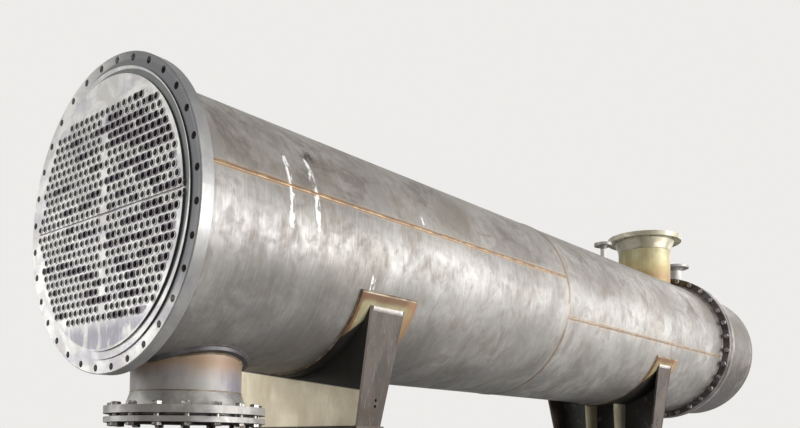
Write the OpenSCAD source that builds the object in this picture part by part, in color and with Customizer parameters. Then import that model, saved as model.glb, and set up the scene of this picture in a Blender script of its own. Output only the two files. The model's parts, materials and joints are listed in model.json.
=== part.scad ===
// Horizontal shell and tube heat exchanger on two saddles, in millimetres.
// The front tubesheet is also the front body flange, with its channel taken off.
// +X is the side towards a viewer of the right flank, +Y runs from front to rear, +Z is up.
// Stations are distances along the axis, counted from the bolting face of the front tubesheet.

/* [Shell] */
// Outside diameter of the shell and of the rear bonnet
shell_od = 916; // [900:2:930]
// Plate thickness of the shell
shell_wall = 8; // [6:1:12]
// Station of the circumferential weld between the two shell courses
girth_station = 2209; // [1900:1:2400]
// Station of the bolting face of the rear tubesheet
rear_station = 4380; // [4340:1:4900]
// Leg of the fillet weld between the shell and each tubesheet
shell_fillet = 12; // [6:1:16]
// Height of the weld cap on the circumferential weld
weld_cap = 2; // [1:0.5:3]
// Half width of that weld cap at its foot
weld_half_width = 9; // [6:1:14]
// Half width of that weld cap at its top
weld_crown = 3; // [2:0.5:5]

/* [Body flanges] */
// Outside diameter of the tubesheets and of the bonnet flange
flange_od = 1030; // [1020:1:1060]
// Bolt circle of the body flanges
flange_bolt_circle = 990; // [984:1:996]
// Number of bolt holes in a body flange
flange_bolts = 32; // [24:4:32]
// Diameter of those bolt holes
flange_hole_d = 23; // [18:1:26]
// Thickness of a tubesheet at its bolting ring
sheet_t = 46; // [36:1:60]
// Chamfer on the outer edges of the tubesheets and the bonnet flange
rim_chamfer = 3; // [1:0.5:6]
// Outside diameter of the raised gasket face
face_od = 936; // [924:1:958]
// Height of the raised gasket face
face_h = 5; // [2:0.5:6]
// Diameter of the tube boss inside the gasket face
boss_od = 884; // [876:1:890]
// Height of the tube boss above the gasket face
boss_h = 6; // [3:0.5:10]

/* [Tubes] */
// Outside diameter of a tube
tube_od = 25.4; // [22:0.1:26]
// Wall of a tube
tube_wall = 2.1; // [1.5:0.1:3]
// Distance between neighbouring tubes in a row
tube_pitch = 33; // [32:0.1:33.5]
// Distance between the two tube rows beside the pass groove
pass_lane = 37; // [35:0.5:44]
// How far the tube ends stand out of the tubesheets
tube_proud = 2; // [1:0.5:5]
// Width of the groove that takes the pass partition
groove_w = 8; // [5:0.5:10]
// Depth of that groove
groove_d = 5; // [3:0.5:6]

/* [Bottom nozzle] */
// Station of the bottom nozzle
bottom_station = 314; // [300:1:330]
// Outside diameter of its neck
bottom_neck_od = 377; // [360:1:385]
// Wall of its neck
bottom_neck_wall = 9; // [6:1:11]
// Depth of its flange face below the axis
bottom_face_drop = 640; // [634:1:642]
// Outside diameter of its flange and blind flange
bottom_flange_od = 545; // [535:1:565]
// Bolt circle of its flange
bottom_bolt_circle = 490; // [482:1:496]
// Diameter of the bolt holes in its flange
bottom_hole_d = 22; // [18:1:26]
// Thickness of its flange without the raised face
bottom_flange_t = 26; // [20:1:30]
// Outside diameter of its raised face
bottom_face_od = 444; // [430:1:450]
// Diameter of its hub where it meets the flange
bottom_hub_od = 410; // [400:1:420]
// Length of its hub
bottom_hub_h = 50; // [40:1:60]
// Outside diameter of the reinforcing collar around the neck, on the shell
collar_od = 418; // [400:2:470]
// Thickness of that collar
collar_t = 14; // [8:1:18]
// Thickness of the gaskets at the nozzle and at the bonnet
gasket_t = 3; // [2:0.5:4.5]
// Thickness of the blind flange without its raised face
blind_t = 18; // [14:1:20]

/* [Top nozzle] */
// Station of the top nozzle
top_station = 4132; // [4080:1:4160]
// Outside diameter of its neck
top_neck_od = 355.6; // [340:0.1:362]
// Wall of its neck
top_neck_wall = 8; // [6:1:11]
// Height of its flange face above the axis
top_face_rise = 765; // [740:1:790]
// Outside diameter of its flange
top_flange_od = 505; // [500:1:520]
// Bolt circle of its flange
top_bolt_circle = 460; // [455:1:468]
// Diameter of the bolt holes in its flange
top_hole_d = 22; // [18:1:24]
// Thickness of its flange without the raised face
top_flange_t = 32; // [24:1:38]
// Outside diameter of its raised face
top_face_od = 430; // [422:1:434]
// Diameter of its hub where it meets the flange
top_hub_od = 408; // [390:1:414]
// Length of its hub
top_hub_h = 68; // [50:1:80]
// Number of bolt holes in the bottom and top nozzle flanges
nozzle_bolts = 16; // [12:4:16]

/* [Vent nozzles] */
// Station of the shell vent
shell_vent_station = 3490; // [3300:1:3700]
// Outside diameter of the shell vent pipe
shell_vent_od = 33.7; // [26:0.1:42]
// Height of the shell vent face above the axis
shell_vent_rise = 606; // [580:1:640]
// Outside diameter of the shell vent flange
shell_vent_flange_od = 115; // [105:1:125]
// Bolt circle of the shell vent flange
shell_vent_circle = 85; // [80:1:88]
// Diameter of the bolt holes in the shell vent flange
shell_vent_hole_d = 14; // [11:1:16]
// Number of those bolt holes
shell_vent_bolts = 4; // [4:4:8]
// Station of the bonnet vent
bonnet_vent_station = 4700; // [4640:1:4800]
// Outside diameter of the bonnet vent pipe
bonnet_vent_od = 88.9; // [76:0.1:90]
// Height of the bonnet vent face above the axis
bonnet_vent_rise = 668; // [640:1:700]
// Outside diameter of the bonnet vent flange
bonnet_vent_flange_od = 200; // [190:1:210]
// Bolt circle of the bonnet vent flange
bonnet_vent_circle = 160; // [152:1:164]
// Diameter of the bolt holes in the bonnet vent flange
bonnet_vent_hole_d = 18; // [14:1:20]
// Number of those bolt holes
bonnet_vent_bolts = 8; // [4:4:8]
// Wall of the vent pipes
vent_wall = 4; // [3:0.5:6]
// Thickness of the vent flanges without the raised face
vent_flange_t = 18; // [14:1:24]
// Height of the raised face on the vent flanges and the nozzle flanges
nozzle_face_h = 4; // [2:0.5:5]

/* [Rear bonnet] */
// Thickness of the bonnet flange at its bolting ring
bonnet_flange_t = 50; // [40:1:60]
// Bore of the bonnet flange
bonnet_flange_bore = 892; // [888:1:896]
// Width of the bonnet's gasket, measured inwards from the edge of the gasket face
gasket_w = 22; // [12:1:24]
// Length of the bonnet from the back of its flange to the start of its head
bonnet_len = 520; // [460:5:600]
// Straight skirt of the head
head_skirt = 30; // [20:1:40]
// Crown radius of the head as a share of its diameter
head_crown = 0.8; // [0.75:0.01:0.9]
// Knuckle radius of the head as a share of its diameter
head_knuckle = 0.154; // [0.12:0.002:0.17]

/* [Saddles] */
// Height of the shell axis above the floor
axis_height = 680; // [680:1:720]
// Station of the middle of the front saddle
front_saddle_station = 908; // [860:1:960]
// Station of the middle of the rear saddle
rear_saddle_station = 3508; // [3440:1:3560]
// Thickness of the wear plates
wear_t = 10; // [6:1:12]
// Length of the wear plates along the shell
wear_len = 310; // [300:1:340]
// Angle below level at which a wear plate ends
wear_angle = 23.3; // [18:0.1:26]
// Length of a saddle leg along the shell at its top
leg_top_w = 191; // [180:1:210]
// Length of a saddle leg along the shell at its foot
leg_foot_w = 138; // [110:1:144]
// Thickness of the saddle legs, webs and ribs
saddle_plate_t = 12; // [8:1:16]
// Angle below level at which a leg meets the wear plate
leg_angle = 28.4; // [27:0.1:32]
// Distance from the end of a base plate to the outer face of a leg at its foot
leg_inset = 12; // [6:1:30]
// Distance from the middle plane to a middle rib
rib_x = 100; // [80:1:140]
// Length of the base plate across the shell
base_len = 704; // [700:1:740]
// Width of the base plate along the shell
base_w = 150; // [146:1:180]
// Thickness of the base plate
base_t = 16; // [12:1:20]
// Distance between the two anchor holes of a base plate
anchor_spacing = 430; // [400:1:460]
// Diameter of the anchor holes and width of the anchor slots
anchor_d = 24; // [18:1:28]
// Length of the anchor slots in the rear base plate, along the shell
anchor_slot = 44; // [30:1:50]
// Diameter of the two small holes low in each leg
leg_hole_d = 12; // [8:1:14]
// Height of the lower of those holes above the base plate
leg_hole_rise = 75; // [50:1:110]
// Distance between those holes
leg_hole_gap = 23; // [18:1:40]
// Distance of those holes from the outer face of the web
leg_hole_y = 94; // [60:1:110]

/* [Hidden] */
$fn = 96;

// Tubes on each side of the centre lane, row by row, counted outwards from the pass groove
row_tubes = [13, 13, 12, 12, 12, 12, 11, 11, 10, 10, 9, 7];
row_pitch = tube_pitch * sqrt(3) / 2;

shell_r = shell_od / 2;
shell_inner_r = shell_r - shell_wall;
wear_r = shell_r + wear_t;
rim_r = flange_od / 2;
face_total = face_h + boss_h;
head_crown_r = shell_od * head_crown;
head_knuckle_r = shell_od * head_knuckle;
head_knuckle_x = shell_r - head_knuckle_r;
head_crown_drop = sqrt(pow(head_crown_r - head_knuckle_r, 2) - pow(head_knuckle_x, 2));
head_h = head_crown_r - head_crown_drop;

tube_start = -face_total - tube_proud;
tube_end = rear_station + sheet_t + face_total + tube_proud;
rear_face_station = rear_station + sheet_t + face_h;
bonnet_face_station = rear_face_station + gasket_t;
bonnet_back_station = bonnet_face_station + face_h + bonnet_flange_t;
head_station = bonnet_back_station + bonnet_len;
overall_end = head_station + head_skirt + head_h;
face_y = -(overall_end + tube_start) / 2;

base_top = -axis_height + base_t;
leg_top = [wear_r * cos(leg_angle), -wear_r * sin(leg_angle)];
leg_foot_x = base_len / 2 - leg_inset;
leg_foot = [leg_foot_x, base_top];
// Just above the highest point at which a middle rib meets the wear plate
rib_top = 1 - sqrt(pow(wear_r, 2) - pow(rib_x + saddle_plate_t / 2, 2));
// The web stands at the outboard edge of a leg, and a saddle's own y grows inboard from that edge
web_edge = leg_top_w / 2;

// Turns a shape that stands along its own Z so that it lies along the exchanger from a station on
module lie_at(station) {
    translate([0, face_y + station, axis_height]) rotate([-90, 0, 0]) children();
}

// Stands a shape on the exchanger's axis at a station, with its own Z up
module stand_at(station) {
    translate([0, face_y + station, axis_height]) children();
}

module ring(outer_r, inner_r, h) {
    difference() {
        cylinder(r = outer_r, h = h);
        translate([0, 0, -1]) cylinder(r = inner_r, h = h + 2);
    }
}

module holes_on_circle(circle_d, count, hole_d, h) {
    for (i = [0 : count - 1])
        rotate((i + 0.5) * 360 / count) translate([circle_d / 2, 0, -1]) cylinder(d = hole_d, h = h + 2);
}

// Centres of all tubes: staggered rows, mirrored about the pass groove and about the centre lane
module tube_field() {
    for (half = [-1, 1], side = [-1, 1], row = [0 : len(row_tubes) - 1], i = [0 : row_tubes[row] - 1])
        translate([
            side * (i + (row % 2 == 0 ? 1 : 0.5)) * tube_pitch,
            half * (pass_lane / 2 + row * row_pitch)])
            children();
}

// Tubesheet standing on its back face: bolting ring, raised gasket face and drilled tube boss
module tubesheet() {
    boss_r = boss_od / 2;
    boss_top = sheet_t + face_total;
    difference() {
        linear_extrude(boss_top) difference() {
            circle(r = boss_r);
            tube_field() circle(d = tube_od);
        }
        translate([-boss_r - 1, -groove_w / 2, boss_top - groove_d])
            cube([boss_od + 2, groove_w, groove_d + 1]);
    }
    difference() {
        rotate_extrude() polygon([
            [boss_r, 0], [rim_r - rim_chamfer, 0], [rim_r, rim_chamfer],
            [rim_r, sheet_t - rim_chamfer], [rim_r - rim_chamfer, sheet_t],
            [face_od / 2, sheet_t], [face_od / 2, sheet_t + face_h], [boss_r, sheet_t + face_h]]);
        holes_on_circle(flange_bolt_circle, flange_bolts, flange_hole_d, sheet_t + face_h);
    }
}

module front_tubesheet() {
    color("gainsboro") lie_at(sheet_t) rotate([180, 0, 0]) tubesheet();
}

module rear_tubesheet() {
    color("dimgray") lie_at(rear_station) tubesheet();
}

module tube_bundle() {
    color("darkgray") lie_at(tube_start) linear_extrude(tube_end - tube_start) tube_field() difference() {
        circle(d = tube_od);
        circle(d = tube_od - 2 * tube_wall);
    }
}

// Shell course along its own Z, with the fillet weld at its start and half the girth weld at its end
module shell_course(length) {
    rotate_extrude() polygon([
        [shell_inner_r, 0], [shell_r + shell_fillet, 0], [shell_r, shell_fillet],
        [shell_r, length - weld_half_width], [shell_r + weld_cap, length - weld_crown],
        [shell_r + weld_cap, length], [shell_inner_r, length]]);
}

module front_shell_course() {
    color("silver") difference() {
        lie_at(sheet_t) shell_course(girth_station - sheet_t);
        stand_at(bottom_station) mirror([0, 0, 1]) cylinder(d = bottom_neck_od, h = shell_od);
    }
}

module rear_shell_course() {
    color("silver") difference() {
        lie_at(rear_station) mirror([0, 0, 1]) shell_course(rear_station - girth_station);
        stand_at(top_station) cylinder(d = top_neck_od, h = shell_od);
        stand_at(shell_vent_station) cylinder(d = shell_vent_od, h = shell_od);
    }
}

// Pipe neck from the shell's inside up to its weld, coped to the shell
module neck(pipe_od, wall, weld_h) {
    start = sqrt(pow(shell_inner_r, 2) - pow(pipe_od / 2, 2)) - 1;
    difference() {
        translate([0, 0, start]) ring(pipe_od / 2, pipe_od / 2 - wall, weld_h - start);
        rotate([90, 0, 0]) cylinder(r = shell_inner_r, h = pipe_od * 2, center = true);
    }
}

// Welding neck flange that hangs from its raised face at z = 0: hub, disc, raised face and bolt holes
module neck_flange(disc_d, disc_t, raised_d, hub_d, hub_h, pipe_od, wall, circle_d, count, hole_d) {
    bore_r = pipe_od / 2 - wall;
    disc_top = -nozzle_face_h;
    disc_bottom = disc_top - disc_t;
    difference() {
        rotate_extrude() polygon([
            [bore_r, 0], [raised_d / 2, 0], [raised_d / 2, disc_top], [disc_d / 2, disc_top],
            [disc_d / 2, disc_bottom], [hub_d / 2, disc_bottom], [pipe_od / 2, disc_bottom - hub_h],
            [bore_r, disc_bottom - hub_h]]);
        translate([0, 0, disc_bottom]) holes_on_circle(circle_d, count, hole_d, -disc_bottom);
    }
}

bottom_weld_h = bottom_face_drop - nozzle_face_h - bottom_flange_t - bottom_hub_h;
top_weld_h = top_face_rise - nozzle_face_h - top_flange_t - top_hub_h;
vent_hub_h = vent_flange_t;
vent_stack = nozzle_face_h + vent_flange_t + vent_hub_h;

module bottom_nozzle_neck() {
    color("silver") stand_at(bottom_station) mirror([0, 0, 1])
        neck(bottom_neck_od, bottom_neck_wall, bottom_weld_h);
}

module bottom_nozzle_collar() {
    color("darkkhaki") stand_at(bottom_station) mirror([0, 0, 1]) intersection() {
        rotate([90, 0, 0]) difference() {
            cylinder(r = shell_r + collar_t, h = collar_od + 2, center = true);
            cylinder(r = shell_r, h = collar_od + 4, center = true);
        }
        ring(collar_od / 2, bottom_neck_od / 2, shell_od);
    }
}

module bottom_nozzle_flange() {
    color("lightgray") stand_at(bottom_station) mirror([0, 0, 1]) translate([0, 0, bottom_face_drop])
        neck_flange(bottom_flange_od, bottom_flange_t, bottom_face_od, bottom_hub_od, bottom_hub_h,
            bottom_neck_od, bottom_neck_wall, bottom_bolt_circle, nozzle_bolts, bottom_hole_d);
}

module bottom_gasket() {
    color("dimgray") stand_at(bottom_station) translate([0, 0, -bottom_face_drop - gasket_t])
        ring(bottom_face_od / 2, bottom_neck_od / 2 - bottom_neck_wall, gasket_t);
}

module blind_flange() {
    blind_drop = bottom_face_drop + gasket_t;
    color("lightgray") stand_at(bottom_station) mirror([0, 0, 1]) translate([0, 0, blind_drop]) {
        cylinder(d = bottom_face_od, h = nozzle_face_h);
        translate([0, 0, nozzle_face_h]) difference() {
            cylinder(d = bottom_flange_od, h = blind_t);
            holes_on_circle(bottom_bolt_circle, nozzle_bolts, bottom_hole_d, blind_t);
        }
    }
}

module top_nozzle_neck() {
    color("darkkhaki") stand_at(top_station) neck(top_neck_od, top_neck_wall, top_weld_h);
}

module top_nozzle_flange() {
    color("lightgray") stand_at(top_station) translate([0, 0, top_face_rise])
        neck_flange(top_flange_od, top_flange_t, top_face_od, top_hub_od, top_hub_h,
            top_neck_od, top_neck_wall, top_bolt_circle, nozzle_bolts, top_hole_d);
}

module vent_flange(flange_d, pipe_od, circle_d, count, hole_d) {
    gap = (circle_d - hole_d - pipe_od) / 2;
    neck_flange(flange_d, vent_flange_t, circle_d - hole_d - gap / 2, pipe_od + gap, vent_hub_h,
        pipe_od, vent_wall, circle_d, count, hole_d);
}

module shell_vent_neck() {
    color("silver") stand_at(shell_vent_station)
        neck(shell_vent_od, vent_wall, shell_vent_rise - vent_stack);
}

module shell_vent_flange() {
    color("lightgray") stand_at(shell_vent_station) translate([0, 0, shell_vent_rise])
        vent_flange(shell_vent_flange_od, shell_vent_od, shell_vent_circle, shell_vent_bolts,
            shell_vent_hole_d);
}

module bonnet_vent_neck() {
    color("silver") stand_at(bonnet_vent_station)
        neck(bonnet_vent_od, vent_wall, bonnet_vent_rise - vent_stack);
}

module bonnet_vent_flange() {
    color("lightgray") stand_at(bonnet_vent_station) translate([0, 0, bonnet_vent_rise])
        vent_flange(bonnet_vent_flange_od, bonnet_vent_od, bonnet_vent_circle, bonnet_vent_bolts,
            bonnet_vent_hole_d);
}

module rear_gasket() {
    color("black") lie_at(rear_face_station) ring(face_od / 2, face_od / 2 - gasket_w, gasket_t);
}

// Bonnet flange: raised face towards the tubesheet, bolting ring and a bore that steps in to the barrel
module bonnet_flange() {
    back = face_h + bonnet_flange_t;
    color("lightgray") lie_at(bonnet_face_station) difference() {
        rotate_extrude() polygon([
            [bonnet_flange_bore / 2, 0], [face_od / 2, 0], [face_od / 2, face_h],
            [rim_r - rim_chamfer, face_h], [rim_r, face_h + rim_chamfer],
            [rim_r, back - rim_chamfer], [rim_r - rim_chamfer, back], [bonnet_flange_bore / 2, back]]);
        holes_on_circle(flange_bolt_circle, flange_bolts, flange_hole_d, back);
    }
}

module bonnet_barrel() {
    color("rosybrown") difference() {
        lie_at(bonnet_back_station) rotate_extrude() polygon([
            [shell_inner_r, 0], [shell_r + shell_fillet, 0], [shell_r, shell_fillet],
            [shell_r, bonnet_len], [shell_inner_r, bonnet_len]]);
        stand_at(bonnet_vent_station) cylinder(d = bonnet_vent_od, h = shell_od);
    }
}

// Filled half section of the head, pulled in by a wall: crown arc, knuckle arc and straight skirt
module head_section(inset) {
    intersection() {
        translate([0, -head_crown_drop]) circle(r = head_crown_r - inset, $fn = 180);
        polygon([
            [0, 0], [head_knuckle_x, 0],
            [head_knuckle_x * 2, head_crown_drop], [0, head_crown_drop + head_crown_r]]);
    }
    intersection() {
        translate([head_knuckle_x, 0]) circle(r = head_knuckle_r - inset);
        square([shell_od, shell_od]);
    }
    translate([0, -head_skirt]) square([shell_r - inset, head_skirt]);
}

module bonnet_head() {
    color("rosybrown") lie_at(head_station + head_skirt) rotate_extrude() difference() {
        head_section(0);
        head_section(shell_wall);
        translate([0, -head_skirt - 1]) square([shell_inner_r, 2]);
    }
}

// A saddle's own frame: x across the shell, y inboard from its legs' outboard edge, z up from the axis
module at_front_saddle() {
    stand_at(front_saddle_station - web_edge) children();
}

module at_rear_saddle() {
    stand_at(rear_saddle_station + web_edge) mirror([0, 1, 0]) children();
}

module shell_cut(length) {
    rotate([90, 0, 0]) cylinder(r = wear_r, h = length * 2, center = true);
}

module wear_plate() {
    reach = wear_r * 2;
    translate([0, leg_top_w / 2, 0]) rotate([90, 0, 0]) intersection() {
        translate([0, 0, -wear_len / 2]) ring(wear_r, shell_r, wear_len);
        translate([0, 0, -wear_len]) linear_extrude(wear_len * 2) polygon([
            [0, 0], [reach * cos(wear_angle), -reach * sin(wear_angle)], [reach, -reach],
            [-reach, -reach], [-reach * cos(wear_angle), -reach * sin(wear_angle)]]);
    }
}

// Web across the whole saddle, with the wear plate's curve cut out of its top
module web() {
    difference() {
        translate([0, saddle_plate_t, 0]) rotate([90, 0, 0]) linear_extrude(saddle_plate_t) polygon([
            leg_foot, leg_top, [-leg_top[0], leg_top[1]], [-leg_foot[0], leg_foot[1]]]);
        shell_cut(leg_top_w);
    }
}

// Side view of a leg or rib: narrower at its foot, straight along the web
module rib_profile(top_z) {
    rise = top_z - base_top;
    slope = (leg_top_w - leg_foot_w) / (leg_top[1] - base_top);
    polygon([
        [saddle_plate_t, base_top], [leg_foot_w, base_top],
        [leg_foot_w + slope * rise, top_z], [saddle_plate_t, top_z]]);
}

module leg() {
    lean = leg_top - leg_foot;
    difference() {
        intersection() {
            rotate([90, 0, 0]) translate([0, 0, -leg_top_w]) linear_extrude(leg_top_w * 2) polygon([
                leg_foot, leg_top, leg_top - [saddle_plate_t, 0], leg_foot - [saddle_plate_t, 0]]);
            translate([leg_foot_x - shell_r, 0, 0]) rotate([90, 0, 90]) linear_extrude(shell_od)
                rib_profile(leg_top[1]);
        }
        shell_cut(leg_top_w);
        for (rise = [leg_hole_rise, leg_hole_rise + leg_hole_gap])
            translate([leg_foot_x + lean[0] / 2, leg_hole_y, base_top + rise]) rotate([0, 90, 0])
                cylinder(d = leg_hole_d, h = leg_foot_x, center = true);
    }
}

module rib() {
    difference() {
        translate([rib_x - saddle_plate_t / 2, 0, 0]) rotate([90, 0, 90]) linear_extrude(saddle_plate_t)
            rib_profile(rib_top);
        shell_cut(leg_top_w);
    }
}

// Base plate with two anchor holes, or slots along the shell that let the rear saddle slide
module base_plate(slot_len) {
    anchor_y = (leg_foot_w + saddle_plate_t) / 2;
    slide = (slot_len - anchor_d) / 2;
    outboard = (base_w - leg_foot_w) / 2;
    translate([0, 0, -axis_height]) difference() {
        translate([-base_len / 2, -outboard, 0]) cube([base_len, base_w, base_t]);
        for (side = [-1, 1]) translate([side * anchor_spacing / 2, anchor_y, -1]) {
            for (end = [-1, 1]) translate([0, end * slide, 0]) cylinder(d = anchor_d, h = base_t + 2);
            if (slide > 0) translate([-anchor_d / 2, -slide, 0]) cube([anchor_d, slide * 2, base_t + 2]);
        }
    }
}

module front_wear_plate() {
    color("tan") at_front_saddle() wear_plate();
}

module front_web() {
    color("wheat") at_front_saddle() web();
}

module front_right_leg() {
    color("gray") at_front_saddle() leg();
}

module front_left_leg() {
    color("gray") at_front_saddle() mirror([1, 0, 0]) leg();
}

module front_right_rib() {
    color("gray") at_front_saddle() rib();
}

module front_left_rib() {
    color("gray") at_front_saddle() mirror([1, 0, 0]) rib();
}

module front_base_plate() {
    color("gray") at_front_saddle() base_plate(anchor_d);
}

module rear_wear_plate() {
    color("tan") at_rear_saddle() wear_plate();
}

module rear_web() {
    color("wheat") at_rear_saddle() web();
}

module rear_right_leg() {
    color("gray") at_rear_saddle() leg();
}

module rear_left_leg() {
    color("gray") at_rear_saddle() mirror([1, 0, 0]) leg();
}

module rear_right_rib() {
    color("gray") at_rear_saddle() rib();
}

module rear_left_rib() {
    color("gray") at_rear_saddle() mirror([1, 0, 0]) rib();
}

module rear_base_plate() {
    color("gray") at_rear_saddle() base_plate(anchor_slot);
}

front_tubesheet();
rear_tubesheet();
front_shell_course();
rear_shell_course();
tube_bundle();
bottom_nozzle_neck();
bottom_nozzle_collar();
bottom_nozzle_flange();
bottom_gasket();
blind_flange();
top_nozzle_neck();
top_nozzle_flange();
shell_vent_neck();
shell_vent_flange();
bonnet_vent_neck();
bonnet_vent_flange();
rear_gasket();
bonnet_flange();
bonnet_barrel();
bonnet_head();
front_wear_plate();
front_web();
front_right_leg();
front_left_leg();
front_right_rib();
front_left_rib();
front_base_plate();
rear_wear_plate();
rear_web();
rear_right_leg();
rear_left_leg();
rear_right_rib();
rear_left_rib();
rear_base_plate();
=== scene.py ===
"""Finishes, welds, studs and stage of a horizontal shell and tube heat exchanger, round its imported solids."""
import json
import math
import random
from functools import partial

import bmesh
import bpy
from bpy.props import FloatProperty, FloatVectorProperty, IntProperty, PointerProperty
from bpy.types import Operator, Panel, PropertyGroup
from mathutils import Euler, Matrix, Vector


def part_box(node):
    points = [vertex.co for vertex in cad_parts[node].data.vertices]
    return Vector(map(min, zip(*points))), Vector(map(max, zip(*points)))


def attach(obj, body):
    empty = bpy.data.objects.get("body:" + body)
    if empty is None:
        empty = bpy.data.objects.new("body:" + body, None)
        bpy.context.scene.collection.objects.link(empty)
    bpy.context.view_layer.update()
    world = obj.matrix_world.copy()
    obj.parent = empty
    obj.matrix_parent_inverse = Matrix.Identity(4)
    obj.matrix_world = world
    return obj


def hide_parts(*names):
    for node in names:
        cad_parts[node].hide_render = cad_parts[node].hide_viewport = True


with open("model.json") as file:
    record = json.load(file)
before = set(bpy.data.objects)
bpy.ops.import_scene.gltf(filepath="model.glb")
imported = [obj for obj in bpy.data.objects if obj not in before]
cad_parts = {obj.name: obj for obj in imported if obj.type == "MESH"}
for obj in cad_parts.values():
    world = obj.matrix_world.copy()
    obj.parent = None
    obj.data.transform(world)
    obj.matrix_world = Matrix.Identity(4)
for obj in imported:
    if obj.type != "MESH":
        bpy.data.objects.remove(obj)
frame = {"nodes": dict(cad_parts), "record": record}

bl_info = {
    "name": "Heat Exchanger Finisher",
    "version": (1, 0, 0),
    "blender": (4, 5, 0),
    "location": "3D View > Sidebar > Exchanger",
    "description": "Gives a packed shell and tube heat exchanger its steel finishes, welds, studs and stage",
    "category": "Object",
}

MM = 0.001
MOUNTS = {mount["name"]: mount for mount in frame["record"]["mounts"]}

# Places read from the frame: the exchanger's axis lies along Y at this height
AXIS_Z = sum(corner.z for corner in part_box("front_tubesheet")) / 2
FRONT_Y = MOUNTS["front_flange_bolts"]["pos_m"][1]
RIM_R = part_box("front_tubesheet")[1].x
SHELL_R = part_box("bonnet_head")[1].x
SHEET_BACK_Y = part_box("front_shell_course")[0].y
GIRTH_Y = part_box("front_shell_course")[1].y
REAR_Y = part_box("rear_shell_course")[1].y
BONNET_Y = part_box("bonnet_barrel")[0].y
HEAD_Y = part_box("bonnet_barrel")[1].y
TOP_NOZZLE_Y = MOUNTS["top_nozzle_bore"]["pos_m"][1]
BONNET_VENT_Y = MOUNTS["bonnet_vent_bore"]["pos_m"][1]
SHELL_VENT_Y = MOUNTS["shell_vent_bore"]["pos_m"][1]
BOTTOM_NOZZLE_Y = sum(corner.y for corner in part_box("blind_flange")) / 2
BOTTOM_NECK_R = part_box("bottom_nozzle_neck")[1].x
TOP_NECK_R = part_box("top_nozzle_neck")[1].x
COLLAR_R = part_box("bottom_nozzle_collar")[1].x

# The tube field: distance between tubes in a row, between the rows beside the pass groove, and the tubes in
# each row from the groove outwards, on each side of the middle
TUBE_R = 12.7 * MM
TUBE_PITCH = 33.0 * MM
PASS_LANE = 37.0 * MM
ROW_PITCH = TUBE_PITCH * math.sqrt(3) / 2
ROW_TUBES = (13, 13, 12, 12, 12, 12, 11, 11, 10, 10, 9, 7)
BOSS_R = 442 * MM
GASKET_FACE_R = 468 * MM

# Welds of the solids: legs of the fillets at the body flanges, and half width and height of the cap between
# the courses
FLANGE_FILLET = 12 * MM
GIRTH_HALF_W = 9 * MM
GIRTH_CAP = 1.6 * MM

# Bolting of the blind flange, and the thickness of the bottom nozzle's flange with its raised face
BLIND_STUDS = 16
BLIND_CIRCLE_R = 245 * MM
BOTTOM_FLANGE_T = 30 * MM

# Angles above level, on the right flank, of the lengthwise seams of the two shell courses
FRONT_SEAM = math.radians(13.3)
REAR_SEAM = math.radians(-11.7)

# Where the grinder touched the shell: distance from the front flange, lowest and highest degree above level
GRINDER_MARKS = ((392 * MM, -5.0, 31.0), (500 * MM, -3.5, 32.0), (805 * MM, -24.0, -14.0),
                 (1085 * MM, 15.0, 21.0))

# A burnt spot beside the front seam: distance from the front flange, and angle above level
BURN_STATION = 515 * MM
BURN_ANGLE = math.radians(33)

# Edge of the painted shadow on the front web, above which the plate is painted near black: height from the axis
# at the middle, and its slope
CLEAN_TOP = -477 * MM
CLEAN_SLOPE = -0.153

# Pitch of the rings that the lathe leaves, and of the threads of a stud
LATHE_LINE = 2.0 * MM
THREAD_MM = 2.5

# Axes that count in a distance from the exchanger's axis, and in a distance along it
ROUND_AXIS = (1, 0, 1)
ALONG_AXIS = (0, 1, 0)


def tone(code):
    """Linear colour of an sRGB hex code."""
    parts = [int(code[i:i + 2], 16) / 255 for i in (1, 3, 5)]
    return tuple(c / 12.92 if c <= 0.04045 else ((c + 0.055) / 1.055) ** 2.4 for c in parts) + (1.0,)


def fill(tree, node, sockets):
    """Sets the named or numbered sockets of a node, or links them. Sources in a list are linked in order."""
    for key, value in sockets.items():
        if isinstance(value, (bpy.types.NodeSocket, list)):
            for source in value if isinstance(value, list) else [value]:
                tree.links.new(source, node.inputs[key])
        else:
            node.inputs[key].default_value = value


def add(tree, kind, sockets=None, **settings):
    """Adds a node, gives it its settings, and fills its sockets."""
    made = tree.nodes.new(kind)
    for name, value in settings.items():
        setattr(made, name, value)
    fill(tree, made, sockets or {})
    return made


def highest(tree, shares):
    """The highest of some shares at each point."""
    share = shares[0]
    for other in shares[1:]:
        share = add(tree, "ShaderNodeMath", {0: share, 1: other}, operation="MAXIMUM").outputs[0]
    return share


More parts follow.
